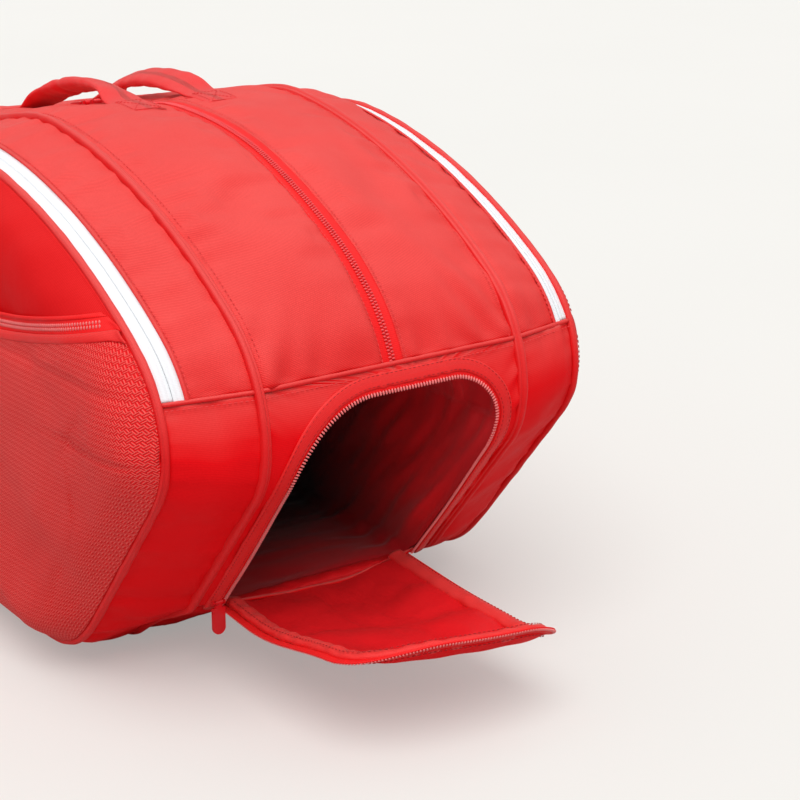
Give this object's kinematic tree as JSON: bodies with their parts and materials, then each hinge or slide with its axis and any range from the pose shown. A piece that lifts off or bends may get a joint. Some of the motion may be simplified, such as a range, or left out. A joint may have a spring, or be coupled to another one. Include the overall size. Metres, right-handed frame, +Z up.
{
  "type": "racket tournament bag",
  "caption": "Soft racket bag with zipped racket compartments, carry handles, shoulder straps and a fold-down shoe door in one end.",
  "frame": {"origin": "centre of the flat base, on the floor", "axes": "+X along the bag to the end with the shoe door, +Y across it towards the side with the shoulder straps, +Z up"},
  "size_m": [0.8436, 0.3713, 0.3465],
  "materials": {
    "polyester": "red polyester twill with a soft sheen",
    "side_fabric": "red polyester, plainer and darker",
    "base_fabric": "red coated polyester",
    "pocket_mesh": "open red mesh over a darker backing",
    "piping": "red bound piping",
    "zip_white": "white reverse-coil zip tape",
    "zip_red": "red zip tape with a nylon coil",
    "lining_red": "thin red lining",
    "lining_dark": "dark padded lining",
    "board": "stiff plastic board",
    "webbing_red": "folded red webbing",
    "strap_fabric": "padded red fabric",
    "strap_webbing": "flat red webbing",
    "slider_red": "red coated zip hardware",
    "hard_black": "black moulded plastic"
  },
  "bodies": {
    "bag": {"front_top_panel": "polyester", "rear_top_panel": "polyester", "shoe_end_panel": "polyester", "far_end_panel": "polyester", "base_panel": "base_fabric", "front_upper_gusset": "polyester", "rear_upper_gusset": "polyester", "front_lower_gusset": "polyester", "rear_lower_gusset": "polyester", "front_inner_piping": "piping", "rear_inner_piping": "piping", "front_outer_piping": "piping", "rear_outer_piping": "piping", "front_side_panel": "side_fabric", "rear_side_panel": "side_fabric", "front_mesh_pocket": "pocket_mesh", "front_divider": "lining_dark", "rear_divider": "lining_dark", "base_board": "board", "shoe_tunnel": "lining_red", "centre_zip": "zip_red", "front_zip_inner_half": "zip_white", "rear_zip_inner_half": "zip_white", "shoe_zip_bag_half": "zip_red", "handle_anchors": "webbing_red", "strap_top_anchor": "strap_fabric", "strap_lower_tabs": "strap_webbing", "strap_d_rings": "hard_black"},
    "front_lid": {"front_lid": "side_fabric", "front_zip_outer_half": "zip_white", "front_pocket_top": "pocket_mesh", "front_pocket_zip": "zip_red"},
    "rear_lid": {"rear_lid": "side_fabric", "rear_zip_outer_half": "zip_white"},
    "shoe_door": {"shoe_door": "polyester", "shoe_door_lining": "lining_red", "shoe_zip_door_half": "zip_red"},
    "shoe_zip_slider": {"shoe_zip_slider": "slider_red"},
    "shoe_zip_pull": {"shoe_zip_pull": "slider_red"},
    "centre_zip_slider_a": {"centre_zip_slider_a": "slider_red"},
    "centre_zip_pull_a": {"centre_zip_pull_a": "slider_red"},
    "centre_zip_slider_b": {"centre_zip_slider_b": "slider_red"},
    "centre_zip_pull_b": {"centre_zip_pull_b": "slider_red"},
    "front_zip_slider": {"front_zip_slider": "slider_red"},
    "front_zip_pull": {"front_zip_pull": "slider_red"},
    "rear_zip_slider": {"rear_zip_slider": "slider_red"},
    "rear_zip_pull": {"rear_zip_pull": "slider_red"},
    "pocket_zip_slider": {"pocket_zip_slider": "slider_red"},
    "pocket_zip_pull": {"pocket_zip_pull": "slider_red"},
    "front_handle": {"front_handle": "webbing_red"},
    "rear_handle": {"rear_handle": "webbing_red"},
    "lower_strap": {"lower_strap_pad": "strap_fabric", "lower_strap_buckle": "hard_black"},
    "lower_strap_webbing": {"lower_strap_webbing": "strap_webbing"},
    "upper_strap": {"upper_strap_pad": "strap_fabric", "upper_strap_buckle": "hard_black"},
    "upper_strap_webbing": {"upper_strap_webbing": "strap_webbing"}
  },
  "joints": [
    {"name": "shoe_door_fold", "type": "hinge", "parent": "bag", "child": "shoe_door", "pos_m": [0.28604, 0, 0.05], "axis": [0, -1, 0], "range_deg": [-16, 54]},
    {"name": "shoe_zip_travel", "type": "slide", "parent": "bag", "child": "shoe_zip_slider", "axis": [0.6428, 0, 0.766], "range_m": [0, 0.105]},
    {"name": "shoe_zip_pull_swing", "type": "hinge", "parent": "shoe_zip_slider", "child": "shoe_zip_pull", "pos_m": [0.29487, -0.07815, 0.05368], "axis": [0, 1, 0], "range_deg": [-120, 35]},
    {"name": "centre_zip_travel_a", "type": "slide", "parent": "bag", "child": "centre_zip_slider_a", "axis": [0.9839, 0, 0.1788], "range_m": [0, 0.065]},
    {"name": "centre_zip_pull_swing_a", "type": "hinge", "parent": "centre_zip_slider_a", "child": "centre_zip_pull_a", "pos_m": [0.00648, 0, 0.31667], "axis": [0, -1, 0], "range_deg": [0, 165]},
    {"name": "centre_zip_travel_b", "type": "slide", "parent": "bag", "child": "centre_zip_slider_b", "axis": [-0.9839, 0, -0.1788], "range_m": [0, 0.065]},
    {"name": "centre_zip_pull_swing_b", "type": "hinge", "parent": "centre_zip_slider_b", "child": "centre_zip_pull_b", "pos_m": [-0.00752, 0, 0.31413], "axis": [0, 1, 0], "range_deg": [0, 165]},
    {"name": "front_zip_travel", "type": "slide", "parent": "bag", "child": "front_zip_slider", "axis": [0.9839, 0, 0.1788], "range_m": [0, 0.14]},
    {"name": "front_zip_pull_swing", "type": "hinge", "parent": "front_zip_slider", "child": "front_zip_pull", "pos_m": [-0.06877, -0.1392, 0.29306], "axis": [0, -1, 0], "range_deg": [0, 165]},
    {"name": "rear_zip_travel", "type": "slide", "parent": "bag", "child": "rear_zip_slider", "axis": [0.9839, 0, 0.1788], "range_m": [0, 0.14]},
    {"name": "rear_zip_pull_swing", "type": "hinge", "parent": "rear_zip_slider", "child": "rear_zip_pull", "pos_m": [-0.06877, 0.1392, 0.29306], "axis": [0, -1, 0], "range_deg": [0, 165]},
    {"name": "pocket_zip_travel", "type": "slide", "parent": "front_lid", "child": "pocket_zip_slider", "axis": [1, 0, 0], "range_m": [0, 0.3]},
    {"name": "pocket_zip_pull_swing", "type": "hinge", "parent": "pocket_zip_slider", "child": "pocket_zip_pull", "pos_m": [-0.15, -0.1794, 0.229], "axis": [0, 0, -1], "range_deg": [0, 165]},
    {"name": "front_handle_swing", "type": "hinge", "parent": "bag", "child": "front_handle", "pos_m": [0.03446, -0.029, 0.32186], "axis": [0.9839, 0, 0.1788], "range_deg": [-4, 45]},
    {"name": "rear_handle_swing", "type": "hinge", "parent": "bag", "child": "rear_handle", "pos_m": [0.03446, 0.029, 0.32186], "axis": [-0.9839, 0, -0.1788], "range_deg": [-4, 45]},
    {"name": "front_lid_fold", "type": "hinge", "parent": "bag", "child": "front_lid", "pos_m": [0, -0.176, 0.215], "axis": [1, 0, 0], "range_deg": [0, 85]},
    {"name": "rear_lid_fold", "type": "hinge", "parent": "bag", "child": "rear_lid", "pos_m": [0, 0.176, 0.215], "axis": [-1, 0, 0], "range_deg": [0, 85]},
    {"name": "lower_strap_swing", "type": "hinge", "parent": "bag", "child": "lower_strap", "pos_m": [0.175, 0.183, 0.074], "axis": [0, 0, -1], "range_deg": [0, 60]},
    {"name": "lower_strap_adjust", "type": "slide", "parent": "lower_strap", "child": "lower_strap_webbing", "axis": [1, 0, 0], "range_m": [0, 0.04]},
    {"name": "upper_strap_swing", "type": "hinge", "parent": "bag", "child": "upper_strap", "pos_m": [0.175, 0.183, 0.162], "axis": [0, 0, -1], "range_deg": [0, 60]},
    {"name": "upper_strap_adjust", "type": "slide", "parent": "upper_strap", "child": "upper_strap_webbing", "axis": [1, 0, 0], "range_m": [0, 0.04]}
  ]
}
